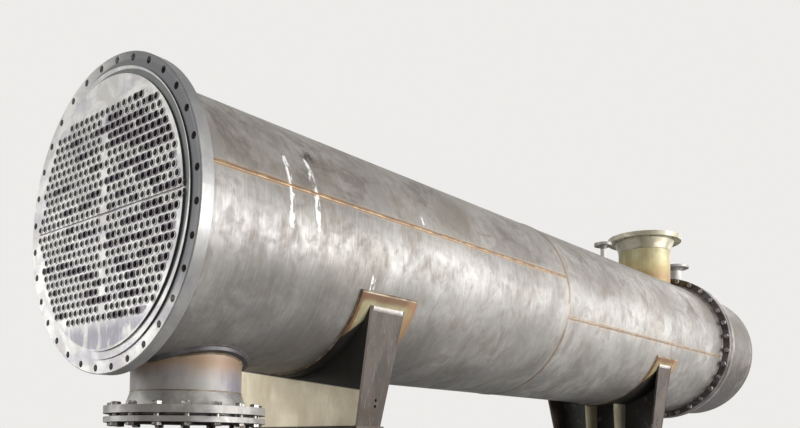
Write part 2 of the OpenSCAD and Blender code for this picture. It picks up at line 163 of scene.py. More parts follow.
class Look:
    """A new material whose base colour is built up in layers, by patterns on its Object coordinates."""

    def __init__(self, name, base):
        self.material = bpy.data.materials.new(name)
        self.material.use_nodes = True
        self.tree = self.material.node_tree
        self.base = tone(base)
        self.place = self.add("ShaderNodeTexCoord").outputs["Object"]
        self.at = self.add("ShaderNodeSeparateXYZ", {0: self.place}).outputs

    def add(self, kind, sockets=None, **settings):
        return add(self.tree, kind, sockets, **settings)

    def speckle(self, per_metre, detail=4.0, roughness=0.55, warp=0.0):
        """Noise whose features are 1 / per_metre across, along each of the three axes."""
        scaled = self.add("ShaderNodeMapping", {"Vector": self.place, "Scale": per_metre}).outputs[0]
        return self.add("ShaderNodeTexNoise", {"Vector": scaled, "Scale": 1.0, "Detail": detail,
                        "Roughness": roughness, "Distortion": warp}).outputs["Fac"]

    def distance(self, point, keep):
        """Distance from a line or plane through point. keep has 1 along the axes that count, and else 0."""
        off = self.add("ShaderNodeVectorMath", {0: self.place, 1: point}, operation="SUBTRACT").outputs[0]
        flat = self.add("ShaderNodeVectorMath", {0: off, 1: keep}, operation="MULTIPLY").outputs[0]
        return self.add("ShaderNodeVectorMath", {0: flat}, operation="LENGTH").outputs["Value"]

    def gap(self, value, spot):
        """How far value lies from spot, on either side."""
        off = self.add("ShaderNodeMath", {0: value, 1: spot}, operation="SUBTRACT").outputs[0]
        return self.add("ShaderNodeMath", {0: off}, operation="ABSOLUTE").outputs[0]

    def product(self, *terms):
        """Product of terms. A term (value, full, none) is 1 where value is full, and falls smoothly to 0
        where it is none. A fourth number is its peak. Any other term is taken as it is."""
        result = None
        for term in terms:
            if isinstance(term, tuple):
                value, full, none, peak = (*term, 1.0)[:4]
                term = self.add("ShaderNodeMapRange", {
                    "Value": value, "From Min": full, "From Max": none, "To Min": peak, "To Max": 0.0},
                    interpolation_type="SMOOTHSTEP").outputs[0]
            result = term if result is None else self.add(
                "ShaderNodeMath", {0: result, 1: term}, operation="MULTIPLY").outputs[0]
        return result

    def over(self, base, *layers, way="MIX"):
        """Colour of base under the layers. A layer is a colour and the terms of its share."""
        for colour, *terms in layers:
            colour = tone(colour) if isinstance(colour, str) else colour
            base = self.add("ShaderNodeMix", {0: self.product(*terms), 6: base, 7: colour},
                            data_type="RGBA", blend_type=way).outputs[2]
        return base

    def lay(self, *layers, way="MIX"):
        """Lays the layers over the base colour."""
        self.base = self.over(self.base, *layers, way=way)

    def finished(self, metal, rough, height, depth_mm, strength):
        """Gives the shader its sockets, with a bump of a real depth, and returns the material.

        rough is a number, or a value, the two roughnesses that it goes between, and the value's own ends."""
        if isinstance(rough, tuple):
            value, low, high, start, end = (*rough, 0.0, 1.0)[:5]
            rough = self.add("ShaderNodeMapRange", {"Value": value, "From Min": start, "From Max": end,
                             "To Min": low, "To Max": high}).outputs[0]
        bump = self.add("ShaderNodeBump", {"Height": height, "Distance": depth_mm * MM, "Strength": strength})
        fill(self.tree, self.tree.nodes["Principled BSDF"], {
            "Base Color": self.base, "Metallic": metal, "Roughness": rough, "Normal": bump.outputs[0]})
        return self.material


def near_seams(look):
    """Share that is 1 on the lengthwise and circumferential welds of the shell, and 0 some 20 mm away."""
    shares = []
    for angle, start, end in ((FRONT_SEAM, SHEET_BACK_Y, GIRTH_Y), (REAR_SEAM, GIRTH_Y, REAR_Y)):
        spot = (SHELL_R * math.cos(angle), 0.0, AXIS_Z + SHELL_R * math.sin(angle))
        half = (end - start) / 2
        from_middle = look.distance((0, (start + end) / 2, 0), ALONG_AXIS)
        shares.append(look.product((look.distance(spot, ROUND_AXIS), 3 * MM, 20 * MM),
                                   (from_middle, half, half + 2 * MM)))
    girth = look.distance((0, GIRTH_Y, 0), ALONG_AXIS)
    return highest(look.tree, shares + [look.product((girth, 6 * MM, 26 * MM))])


def heat_tint(look, share):
    """Temper colours of stainless steel: straw far from the heat, then brown, violet and grey blue."""
    ramp = look.add("ShaderNodeValToRGB", {"Fac": share})
    stops = ramp.color_ramp.elements
    stops[0].color = tone("#B7AFA0")
    stops[1].color = tone("#7C7370")
    for position, code in ((0.35, "#B0A58C"), (0.62, "#A58A62"), (0.82, "#8C6148")):
        stops.new(position).color = tone(code)
    return ramp.outputs["Color"]


def tube_row_smears(look):
    """Share that is 1 where burnt oil joins the tubes of a row, in patches, and 0 between the rows."""
    x = look.at["X"]
    rise = look.add("ShaderNodeMath", {0: look.at["Z"], 1: AXIS_Z}, operation="SUBTRACT").outputs[0]
    row = look.add("ShaderNodeMath", {0: look.gap(look.at["Z"], AXIS_Z), 1: 1 / ROW_PITCH,
                   2: -PASS_LANE / 2 / ROW_PITCH}, operation="MULTIPLY_ADD").outputs[0]
    nearest = look.add("ShaderNodeMath", {0: row}, operation="ROUND").outputs[0]
    side = look.add("ShaderNodeMath", {0: rise}, operation="SIGN").outputs[0]
    own = look.add("ShaderNodeCombineXYZ", {"X": look.product(x, 7.0), "Y": look.product(nearest, 5.37),
                   "Z": look.product(side, 3.1)}).outputs[0]
    more = look.add("ShaderNodeTexNoise", {"Vector": own, "Scale": 1.0, "Detail": 3.0}).outputs["Fac"]
    # More oil to the right, more in the upper right and lower left quarters, and a ragged edge
    for value, factor in ((x, 0.22), (look.product(x, rise), 0.5), (look.speckle((90, 1, 90), 3.0), 0.12)):
        more = look.add("ShaderNodeMath", {0: value, 1: factor, 2: more}, operation="MULTIPLY_ADD").outputs[0]
    return look.product((look.gap(row, nearest), 10.5 * MM / ROW_PITCH, 13.0 * MM / ROW_PITCH),
                        (row, len(ROW_TUBES) - 0.6, len(ROW_TUBES) - 0.5), (more, 0.625, 0.6),
                        (look.distance((0, 0, AXIS_Z), ROUND_AXIS), BOSS_R - 26 * MM, BOSS_R - 14 * MM))


def smear_oil(look):
    """Lays dark violet brown smears along the tube rows."""
    grain = look.speckle((120, 20, 120), 3.0, 0.6)
    smear = look.over(tone("#6C636B"), ("#463D47", (grain, 0.62, 0.36)))
    look.lay((smear, tube_row_smears(look), 0.88))


def behind_step(look, step_r, reach, lean):
    """Painted shadow: a crescent outside a step of radius step_r, widest (reach) at an angle lean above level
    on the right.
    """
    moved = (reach * math.cos(lean), 0, AXIS_Z + reach * math.sin(lean))
    return look.product((look.distance((0, 0, AXIS_Z), ROUND_AXIS), step_r, step_r - 1 * MM),
                        (look.distance(moved, ROUND_AXIS), step_r - 2 * MM, step_r + 2 * MM))


def grinder_strokes(look):
    """Share that is 1 on the bright, broken strokes that a grinder left on the right flank."""
    wander = look.add("ShaderNodeMath", {0: look.speckle((6, 6, 6), 2.0), 1: 40 * MM, 2: look.at["Y"]},
                      operation="MULTIPLY_ADD").outputs[0]
    strokes = []
    for station, low, high in GRINDER_MARKS:
        low_z, high_z = (AXIS_Z + SHELL_R * math.sin(math.radians(angle)) for angle in (low, high))
        half = (high_z - low_z) / 2
        strokes.append(look.product(
            (look.gap(wander, FRONT_Y + station + 20 * MM), 6 * MM, 15 * MM),
            (look.gap(look.at["Z"], (low_z + high_z) / 2), half - 15 * MM, half)))
    return look.product(highest(look.tree, strokes), (look.speckle((26, 60, 26), 2.0, 0.6), 0.44, 0.54),
                        (look.at["X"], 0.1, 0.0))


def rolled_plate(name, light, dark, soot, brushed=1.0, metal=0.38):
    """Rolled, pickled and hand brushed 304 plate: grey satin with stains and strokes round the shell."""
    look = Look(name, light)
    clouds = look.speckle((3.2, 2.6, 3.2), 6.0, 0.62, 0.4)
    patches = look.speckle((7.5, 9.0, 7.5), 4.0, 0.6, 0.8)
    mottle = look.speckle((22, 30, 22), 4.0, 0.62, 0.5)
    strokes = look.speckle((14.0, 190.0, 14.0), 3.0, 0.6)
    hue = look.speckle((2.1, 1.9, 2.1), 3.0, 0.5, 0.3)
    height = look.at["Z"]
    high = look.product((height, AXIS_Z + 0.2, AXIS_Z + 0.02))
    look.lay((dark, (clouds, 0.62, 0.36)))
    look.lay(("#A4A1AC", (hue, 0.36, 0.5, 0.3)), ("#B9AC98", (hue, 0.64, 0.5, 0.3)), way="MULTIPLY")
    look.lay(("#766D64", (patches, 0.34, 0.54, 0.6)),
             ("#7C756C", (mottle, 0.3, 0.55, 0.36)),
             (dark, (look.speckle((1.6, 40.0, 1.6), 3.0, 0.6), 0.36, 0.6, 0.15)),
             ("#746D63", (look.speckle((1.3, 14.0, 0.8), 5.0, 0.7, 0.6), 0.34, 0.46, 0.3)),
             ("#CFCCC6", (strokes, 0.68, 0.5, 0.14 * brushed)),
             ("#6E6962", (strokes, 0.32, 0.5, 0.14 * brushed)),
             # Browner and darker towards the top, with dark blotches there
             ("#736960", high, 0.36),
             ("#574B43", high, (look.speckle((4.4, 3.6, 4.4), 5.0, 0.7, 0.9), 0.38, 0.47, 0.5)),
             ("#4E4843", (look.speckle((24, 210, 24), 2.0, 0.6), 0.25, 0.29, 0.6)))
    seams = near_seams(look)
    burn = (SHELL_R * math.cos(BURN_ANGLE), FRONT_Y + BURN_STATION, AXIS_Z + SHELL_R * math.sin(BURN_ANGLE))
    look.lay((heat_tint(look, seams), seams, (look.speckle((14, 14, 14), 3.0), 0.7, 0.2)),
             # Painted shade: the plate darker towards the underside, in clouds
             ("#5C5D62", (height, AXIS_Z - 0.46, AXIS_Z - 0.1), (clouds, 0.75, 0.2), soot),
             ("#3A322D", (look.distance(burn, (1, 0.8, 1)), 12 * MM, 40 * MM), (mottle, 0.42, 0.6)),
             ("#F2F1EE", grinder_strokes(look), 0.9))
    worn = look.add("ShaderNodeMath", {0: mottle, 1: 0.6, 2: look.product(patches, 0.6)},
                    operation="MULTIPLY_ADD").outputs[0]
    uneven = look.add("ShaderNodeMath", {0: look.speckle((5, 4, 5), 2.0),
                      1: look.product(strokes, 0.08 * brushed)}, operation="ADD").outputs[0]
    return look.finished(metal, (worn, 0.62, 0.38, 0.45, 0.75), uneven, 1.6, 0.5)


def wear_on_sheet(look, radius):
    """Lays painted shadows behind the steps, painted shade on the ring's right and the rim's top, a duller rim,
    streaks and burnt oil.
    """
    top = look.at["Z"]
    to_right = look.add("ShaderNodeVectorMath", {0: look.place, 1: (0.9, 0, 0.43)},
                        operation="DOT_PRODUCT").outputs["Value"]
    rim = look.product((radius, RIM_R - 1 * MM, RIM_R - 2 * MM))
    # Painted shadows: dark crescents outside the boss and the gasket face, widest up to the right
    look.lay(("#3D423F", behind_step(look, BOSS_R, 23 * MM, math.radians(28)), 0.92),
             ("#3F3B39", behind_step(look, GASKET_FACE_R, 34 * MM, math.radians(25)), 0.85),
             # Painted shade: the bolting ring's face darker towards the right
             ("#4C4D50", (to_right, 0.43 * AXIS_Z + 0.36, 0.43 * AXIS_Z + 0.02, 0.92),
              (radius, GASKET_FACE_R, GASKET_FACE_R - 1 * MM),
              (look.at["Y"], FRONT_Y + 0.5 * MM, FRONT_Y + 1.5 * MM)),
             ("#8C8B8A", rim, 0.6),
             # Painted shade: the rim darker towards the top
             ("#5F6062", (top, AXIS_Z + 0.34, AXIS_Z + 0.12, 0.75), rim),
             ("#74717C", (top, AXIS_Z - 0.38, AXIS_Z - 0.32), (radius, BOSS_R - 10 * MM, BOSS_R - 2 * MM),
              (look.speckle((16, 16, 5), 5.0, 0.65, 0.7), 0.44, 0.6, 0.9)))
    smear_oil(look)


def machined_face(name, light, dark, violet, worn=None):
    """Steel faced on a lathe: fine rings round the exchanger's axis, pale, with a violet bloom of old heat.

    worn lays what use has left on the face."""
    look = Look(name, light)
    radius = look.distance((0, 0, AXIS_Z), ROUND_AXIS)
    turned = look.add("ShaderNodeMath", {0: look.product(radius, 2 * math.pi / LATHE_LINE)},
                      operation="SINE").outputs[0]
    clouds = look.speckle((9, 9, 9), 5.0, 0.6, 0.5)
    look.lay((dark, (clouds, 0.6, 0.38)),
             ("#8F8A9E", (look.speckle((5, 30, 16), 4.0, 0.6, 0.3), 0.4, 0.52, violet)),
             ("#A9A29A", (look.speckle((40, 40, 6), 3.0, 0.7), 0.3, 0.42, 0.3)))
    if worn:
        worn(look, radius)
    return look.finished(0.4, (clouds, 0.34, 0.5), turned, 0.05, 0.35)


def heated_neck(name, light, dark, gold, root_z, reach, burnt=0.7):
    """Rolled neck that was welded at its root: gold and brown temper colours that fade away from the weld."""
    look = Look(name, light)
    clouds = look.speckle((10, 10, 4), 4.0, 0.6)
    height = look.add("ShaderNodeMath", {0: look.speckle((6, 6, 9), 4.0, 0.6, 0.5), 1: -reach * 0.9,
                      2: look.distance((0, 0, root_z), (0, 0, 1))}, operation="MULTIPLY_ADD").outputs[0]
    look.lay((dark, (clouds, 0.62, 0.36)),
             (gold, (height, -reach * 0.5, reach * 0.75, 0.9)),
             ("#8C6A4C", (height, -reach * 0.5, reach * 0.1, burnt)))
    return look.finished(0.2, (clouds, 0.46, 0.62), clouds, 0.8, 0.3)


# Near black painted shade over the plate, strongest where the clouds are low
def scale_all_over(look, clouds):
    return look.product((clouds, 0.0, 0.9))


def scale_above_line(look, clouds):
    """Painted shadow: near black above a line across the front web. The web's cut ends are brown like the legs
    beside them.
    """
    above = look.add("ShaderNodeMath", {0: look.at["X"], 1: -CLEAN_SLOPE, 2: look.at["Z"]},
                     operation="MULTIPLY_ADD").outputs[0]
    facing = look.add("ShaderNodeVectorMath", {0: look.add("ShaderNodeNewGeometry").outputs["Normal"],
                      1: (1, 0, 0)}, operation="DOT_PRODUCT").outputs["Value"]
    sideways = look.add("ShaderNodeMath", {0: facing}, operation="ABSOLUTE").outputs[0]
    look.lay(("#463D36", (sideways, 0.5, 0.3)))
    line = AXIS_Z + CLEAN_TOP
    return look.product((above, line + 3 * MM, line - 3 * MM, 0.96), (sideways, 0.3, 0.5))


def scale_below_vessel(look, clouds, plate):
    """Near black painted shade low on a wear plate of box plate. Its edges are brown, and its rear half is
    tinted.
    """
    low, high = plate
    y, z = look.at["Y"], look.at["Z"]
    half = (high.y - low.y) / 2
    away = look.gap(y, (low.y + high.y) / 2)
    to_edge, to_top = (
        look.add("ShaderNodeMath", {0: clouds, 1: ragged, 2: value}, operation="MULTIPLY_ADD").outputs[0]
        for ragged, value in ((20 * MM, away), (30 * MM, z)))
    look.lay(("#6E4628", (to_edge, half, half - 12 * MM, 0.85)),
             ("#6E4A34", (to_top, high.z - 4 * MM, high.z - 26 * MM, 0.85)),
             ("#A88462", (y, high.y - 30 * MM, high.y - 70 * MM, 0.65)))
    # Near black painted shade on the low part, under a line that is highest midway along the plate
    slope = 1.05
    under = look.add("ShaderNodeMath", {0: away, 1: slope, 2: z}, operation="MULTIPLY_ADD").outputs[0]
    line = AXIS_Z - 0.335 + slope * half
    return look.product((under, line - 6 * MM, line + 2 * MM, 0.95), (z, high.z - 52 * MM, high.z - 44 * MM))


def mill_plate(name, light, dark, stain, scale=None, metal=0.14):
    """Flat bar and plate as it leaves the mill, cut and handled: dull, with brown stains and cutting marks.

    scale gives the share of the plate that is painted near black as shade."""
    look = Look(name, light)
    clouds = look.speckle((6, 8, 5), 6.0, 0.65, 0.4)
    scratches = look.speckle((25, 220, 18), 2.0, 0.7)
    look.lay((dark, (clouds, 0.6, 0.38)),
             (stain, (look.speckle((9, 9, 3), 4.0, 0.6), 0.36, 0.5, 0.6)),
             ("#C9C4BC", (scratches, 0.28, 0.4, 0.25)))
    if scale:
        share = scale(look, clouds)
        # Near black painted shade where the share says
        look.lay(("#131519", share))
    return look.finished(metal, (clouds, 0.55, 0.72), scratches, 0.2, 0.3)


def drawn_tube(name):
    """Cold drawn 304 tube: a pale mouth, oil on it, and a bore that no light reaches far into."""
    look = Look(name, "#B8B5B1")
    clouds = look.speckle((20, 3, 20), 3.0)
    depth = look.at["Y"]
    look.lay(("#8E8A86", (clouds, 0.6, 0.35)), ("#C9C7C4", (depth, FRONT_Y - 10 * MM, FRONT_Y + 60 * MM)))
    smear_oil(look)
    look.lay(("#484346", (depth, FRONT_Y - 1 * MM, FRONT_Y - 10 * MM)))
    return look.finished(0.45, 0.45, clouds, 0.1, 0.3)


def weld_metal(name, light, dark, worn=None):
    """Weld metal brushed with a wire wheel: bright crests with brown oxide in the valleys."""
    look = Look(name, light)
    grain = look.speckle((160, 160, 160), 3.0, 0.6)
    look.lay((dark, (look.speckle((18, 18, 18), 3.0), 0.6, 0.36)), ("#6E5A48", (grain, 0.34, 0.46, 0.5)))
    if worn:
        worn(look)
    return look.finished(0.4, 0.48, grain, 0.4, 0.5)


def graphite_gasket(name):
    """Spiral wound gasket with graphite filler: near black, matte, with a faint steel sheen."""
    look = Look(name, "#1C1B1A")
    grain = look.speckle((300, 300, 300), 2.0)
    look.lay(("#3A3836", grain))
    return look.finished(0.0, 0.8, grain, 0.2, 0.4)


def galvanised_bolt(name):
    """Plain steel stud and nut with a thin bright coat, duller in the threads."""
    look = Look(name, "#A9A7A3")
    look.lay(("#6C6762", (look.speckle((90, 90, 90), 3.0), 0.62, 0.36)))
    thread = look.add("ShaderNodeTexWave", {"Vector": look.place, "Scale": 1000 / THREAD_MM / (2 * math.pi)},
                      wave_type="BANDS", bands_direction="Y").outputs["Fac"]
    return look.finished(0.85, 0.38, thread, 0.4, 0.2)


def length(name, text, default_mm, low_mm, high_mm):
    return FloatProperty(name=name, description=text, default=default_mm * MM, min=low_mm * MM,
                         max=high_mm * MM, unit="LENGTH")


class ExchangerSizes(PropertyGroup):
    stud_d: length("Stud diameter", "Diameter of the studs that hold the bonnet", 20, 12, 22)
    nozzle_stud_d: length("Nozzle stud diameter", "Diameter of the studs of the blind flange", 20, 12, 21)
    weld_w: length("Weld width", "Width of the weld caps on the shell's seams", 10, 6, 20)
    fillet_w: length("Fillet width", "Width of the fillet welds at nozzles, flanges and saddles", 12, 6, 18)
    ripple: length("Ripple pitch", "Distance between two ripples of a weld", 5, 2, 10)
    tube_weld_w: length("Tube weld width", "Width of the weld ring round each tube end", 1.6, 1, 3.5)
    seed: IntProperty(
        name="Seed", description="Seed of the random turns of nuts and the wander of welds", default=7, min=0)


class ExchangerFinish(PropertyGroup):
    floor_colour: FloatVectorProperty(
        name="Floor colour", description="Colour of the studio floor", subtype="COLOR", size=3,
        min=0.0, max=1.0, default=tone("#EFEEEB")[:3])
    backdrop: FloatVectorProperty(
        name="Backdrop colour", description="Colour behind the exchanger", subtype="COLOR", size=3,
        min=0.0, max=1.0, default=tone("#EDECEA")[:3])
    lamp_level: FloatProperty(
        name="Lamp level", description="Factor on the power of all lamps", default=1.0, min=0.0, max=4.0)


def finish_nodes(made, *names):
    for name in names:
        for place in frame["nodes"][name].material_slots:
            place.material = made


def smooth_by_angle(mesh, degrees):
    mesh.polygons.foreach_set("use_smooth", [True] * len(mesh.polygons))
    mesh.set_sharp_from_angle(angle=math.radians(degrees))


def new_piece(name, mesh, made):
    """Links a finished mesh as a piece of the exchanger."""
    mesh.materials.clear()
    mesh.materials.append(made)
    piece = bpy.data.objects.new(name, mesh)
    bpy.context.scene.collection.objects.link(piece)
    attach(piece, "root")
    return piece


def rolled_piece(name, made):
    """Piece that stands for a rolled course: a merged copy of its solid, with exact normals round the axis.

    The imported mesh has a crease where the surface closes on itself, level with the axis."""
    mesh = frame["nodes"][name].data.copy()
    builder = bmesh.new()
    builder.from_mesh(mesh)
    bmesh.ops.remove_doubles(builder, verts=builder.verts, dist=0.01 * MM)
    builder.to_mesh(mesh)
    builder.free()
    mesh.polygons.foreach_set("use_smooth", [True] * len(mesh.polygons))
    normals = []
    for face in mesh.polygons:
        out = Vector((face.center.x, 0, face.center.z - AXIS_Z)).normalized()
        along = Vector((0, face.normal.y, 0))
        radial = face.normal.dot(out)
        is_round = (face.normal - along - out * radial).length < 0.1
        for index in face.loop_indices:
            spot = mesh.vertices[mesh.loops[index].vertex_index].co
            ray = Vector((spot.x, 0, spot.z - AXIS_Z)).normalized()
            normals.append((ray * radial + along).normalized() if is_round else face.normal.copy())
    mesh.normals_split_custom_set(normals)
    piece = new_piece(name + "_plate", mesh, made)
    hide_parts(name)


# Section of a weld cap: place across its width, from edge to edge, and share of its height
CAP_SECTION = ((-0.5, 0.0), (-0.34, 0.62), (-0.12, 0.95), (0.12, 0.95), (0.34, 0.62), (0.5, 0.0))
# How far a weld's foot lies under the surface that it is on
WELD_SUNK = 0.3 * MM


def bead(builder, route, closed, width, height, ripple, rng):
    """Adds a rippled weld cap along route, a list of (point, outward normal), to a bmesh."""
    count = len(route)
    rows = []
    travel = 0.0
    sway = 0.0
    for index, (point, normal) in enumerate(route):
        before = route[index - 1][0] if index or closed else point
        after = route[(index + 1) % count][0] if index + 1 < count or closed else point
        along = (after - before).normalized()
        across = along.cross(normal).normalized()
        if index:
            travel += (point - route[index - 1][0]).length
        sway = sway * 0.9 + rng.uniform(-1, 1) * 0.1
        crest = 0.72 + 0.28 * math.cos(2 * math.pi * travel / ripple)
        row = []
        for side, rise in CAP_SECTION:
            bow = (side * side * 4 - 1) * ripple * 0.35
            spot = point + across * (side * width * (1 + 0.06 * sway) + 0.03 * sway * width)
            spot += along * bow + normal * (rise * height * crest - WELD_SUNK)
            row.append(builder.verts.new(spot))
        rows.append(row)
    pairs = list(zip(rows, rows[1:]))
    if closed:
        pairs.append((rows[-1], rows[0]))
    for low, high in pairs:
        for side in range(len(CAP_SECTION) - 1):
            builder.faces.new((low[side], low[side + 1], high[side + 1], high[side]))
    if not closed:
        builder.faces.new(rows[0])
        builder.faces.new(list(reversed(rows[-1])))


def weld_piece(name, routes, width, height, made, sizes):
    """One piece with a weld along each of the routes, each a list of points and whether it closes."""
    rng = random.Random(sizes.seed)
    builder = bmesh.new()
    for route, closed in routes:
        bead(builder, route, closed, width, height, sizes.ripple, rng)
    bmesh.ops.recalc_face_normals(builder, faces=builder.faces)
    mesh = bpy.data.meshes.new(name)
    builder.to_mesh(mesh)
    builder.free()
    smooth_by_angle(mesh, 60)
    new_piece(name, mesh, made)


def steps_for(length, ripple):
    """Steps along a weld: five to two ripples, and 8 at least."""
    return max(8, int(length / (ripple / 2.5)))


def outward_at(angle):
    """Direction away from the exchanger's axis, at an angle above level on the right."""
    return Vector((math.cos(angle), 0, math.sin(angle)))


def line_route(start, end, normal, ripple):
    steps = steps_for((end - start).length, ripple)
    return [(start.lerp(end, i / steps), normal) for i in range(steps + 1)], False


def seam_route(angle, start, end, ripple):
    """Line along the shell, at an angle above level on the right."""
    outward = outward_at(angle)
    steps = steps_for(end - start, ripple)
    return [(Vector((0, start + (end - start) * i / steps, AXIS_Z)) + outward * SHELL_R, outward)
            for i in range(steps + 1)], False


def ring_route(station, radius, ripple, lean=0.0, start=0.0, end=2 * math.pi):
    """Circle round the exchanger's axis, or an arc from one angle above level to another.

    lean turns the weld's normal from outwards towards +Y."""
    closed = end - start == 2 * math.pi
    steps = steps_for(abs(end - start) * radius, ripple)
    route = []
    for i in range(steps if closed else steps + 1):
        outward = outward_at(start + (end - start) * i / steps)
        normal = (outward * math.cos(lean) + Vector((0, math.sin(lean), 0))).normalized()
        route.append((Vector((0, station, AXIS_Z)) + outward * radius, normal))
    return route, closed


def cope_route(station, pipe_r, body_r, up, ripple):
    """Where an upright pipe meets a round body on the axis. up is 1 on top and -1 below."""
    steps = steps_for(2 * math.pi * pipe_r, ripple)
    route = []
    for i in range(steps):
        angle = 2 * math.pi * i / steps
        from_pipe = Vector((math.cos(angle), math.sin(angle), 0))
        x = pipe_r * math.cos(angle)
        rise = math.sqrt(body_r * body_r - x * x)
        from_body = Vector((x, 0, up * rise)) / body_r
        route.append((Vector((x, station + pipe_r * math.sin(angle), AXIS_Z + up * rise)),
                      (from_pipe + from_body).normalized()))
    return route, True


def pipe_ring_route(station, pipe_r, z, ripple):
    """Circle round an upright pipe."""
    steps = steps_for(2 * math.pi * pipe_r, ripple)
    route = []
    for i in range(steps):
        angle = 2 * math.pi * i / steps
        outward = Vector((math.cos(angle), math.sin(angle), 0))
        route.append((Vector((0, station, z)) + outward * pipe_r, outward))
    return route, True


def new_tree(name, inputs):
    """Geometry Nodes tree with named inputs beside its geometry, and the outputs of its input node."""
    tree = bpy.data.node_groups.new(name, "GeometryNodeTree")
    tree.interface.new_socket("Geometry", in_out="INPUT", socket_type="NodeSocketGeometry")
    for label, kind in inputs:
        tree.interface.new_socket(label, in_out="INPUT", socket_type="NodeSocket" + kind)
    tree.interface.new_socket("Geometry", in_out="OUTPUT", socket_type="NodeSocketGeometry")
    return tree, tree.nodes.new("NodeGroupInput").outputs


def end_tree(tree, geometry, made):
    """Ends a tree: its instances become real and get their material."""
    real = add(tree, "GeometryNodeRealizeInstances", {"Geometry": geometry}).outputs[0]
    coated = add(tree, "GeometryNodeSetMaterial", {"Geometry": real, "Material": made}).outputs[0]
    tree.links.new(coated, tree.nodes.new("NodeGroupOutput").inputs[0])
    return tree


def stud_tree():
    """Geometry Nodes tree: studs with a nut at each end, spread on a bolt circle and moved to their place."""
    tree, given = new_tree("studs_on_bolt_circle", (
        ("Count", "Int"), ("Circle radius", "Float"), ("Stud radius", "Float"), ("Stud length", "Float"),
        ("Grip", "Float"), ("Nut radius", "Float"), ("Nut height", "Float"), ("Place", "Vector"),
        ("Turn", "Rotation"), ("Seed", "Int"), ("Material", "Material")))
    stud = add(tree, "GeometryNodeMeshCylinder", {
        "Vertices": 16, "Radius": given["Stud radius"], "Depth": given["Stud length"]},
        fill_type="NGON").outputs["Mesh"]
    narrow, chamfer, middle, top_start, half_grip = (
        add(tree, "ShaderNodeMath", {0: given[name], 1: share}, operation="MULTIPLY").outputs[0]
        for name, share in (("Nut radius", 0.93), ("Nut height", 0.12), ("Nut height", 0.76),
                            ("Nut height", 0.88), ("Grip", 0.5)))
    wide = given["Nut radius"]
    # A nut in three slices: radius below, radius above, height, and where the slice starts
    slices = []
    for bottom, top, height, start in ((narrow, wide, chamfer, 0.0), (wide, wide, middle, chamfer),
                                       (wide, narrow, chamfer, top_start)):
        cone = add(tree, "GeometryNodeMeshCone", {
            "Vertices": 6, "Radius Top": top, "Radius Bottom": bottom, "Depth": height},
            fill_type="NGON").outputs["Mesh"]
        lift = add(tree, "ShaderNodeCombineXYZ", {"Z": start}).outputs[0]
        slices.append(add(tree, "GeometryNodeTransform", {"Geometry": cone, "Translation": lift}).outputs[0])
    nut = add(tree, "GeometryNodeJoinGeometry", {0: slices}).outputs[0]
    lift = add(tree, "ShaderNodeCombineXYZ", {"Z": half_grip}).outputs[0]
    upper = add(tree, "GeometryNodeTransform", {"Geometry": nut, "Translation": lift}).outputs[0]
    lower = add(tree, "GeometryNodeTransform", {
        "Geometry": upper, "Rotation": Euler((math.pi, 0, 0))}).outputs[0]
    bolt = add(tree, "GeometryNodeJoinGeometry", {0: [stud, upper, lower]}).outputs[0]
    # The bolt holes straddle the upright middle plane, half a step round
    circle = add(tree, "GeometryNodeMeshCircle", {
        "Vertices": given["Count"], "Radius": given["Circle radius"]}).outputs["Mesh"]
    half_step = add(tree, "ShaderNodeMath", {0: math.pi, 1: given["Count"]}, operation="DIVIDE").outputs[0]
    straddle = add(tree, "FunctionNodeAxisAngleToRotation", {
        "Axis": (0, 0, 1), "Angle": half_step}).outputs[0]
    turned = add(tree, "GeometryNodeTransform", {"Geometry": circle, "Rotation": straddle}).outputs[0]
    spin = add(tree, "FunctionNodeRandomValue", {"Seed": given["Seed"], 3: math.pi / 3},
               data_type="FLOAT").outputs[1]
    spun = add(tree, "FunctionNodeAxisAngleToRotation", {"Axis": (0, 0, 1), "Angle": spin}).outputs[0]
    spread = add(tree, "GeometryNodeInstanceOnPoints", {
        "Points": turned, "Instance": bolt, "Rotation": spun}).outputs[0]
    placed = add(tree, "GeometryNodeTransform", {
        "Geometry": spread, "Translation": given["Place"], "Rotation": given["Turn"]}).outputs[0]
    return end_tree(tree, placed, given["Material"])


def tube_ring_tree():
    """Geometry Nodes tree: a small weld ring on each point of the mesh that it is given."""
    tree, given = new_tree("weld_rings_on_tube_ends", (
        ("Ring radius", "Float"), ("Bead radius", "Float"), ("Seed", "Int"), ("Material", "Material")))
    ring = add(tree, "GeometryNodeCurvePrimitiveCircle", {"Resolution": 14, "Radius": given["Ring radius"]})
    section = add(tree, "GeometryNodeCurvePrimitiveCircle", {"Resolution": 4, "Radius": given["Bead radius"]})
    swept = add(tree, "GeometryNodeCurveToMesh", {
        "Curve": ring.outputs[0], "Profile Curve": section.outputs[0]}).outputs[0]
    across = add(tree, "GeometryNodeTransform", {
        "Geometry": swept, "Rotation": Euler((math.pi / 2, 0, 0))}).outputs[0]
    spin = add(tree, "FunctionNodeRandomValue", {"Seed": given["Seed"], 3: 2 * math.pi},
               data_type="FLOAT").outputs[1]
    turn = add(tree, "FunctionNodeAxisAngleToRotation", {"Axis": (0, 1, 0), "Angle": spin}).outputs[0]
    spread = add(tree, "GeometryNodeInstanceOnPoints", {
        "Points": given["Geometry"], "Instance": across, "Rotation": turn}).outputs[0]
    return end_tree(tree, spread, given["Material"])


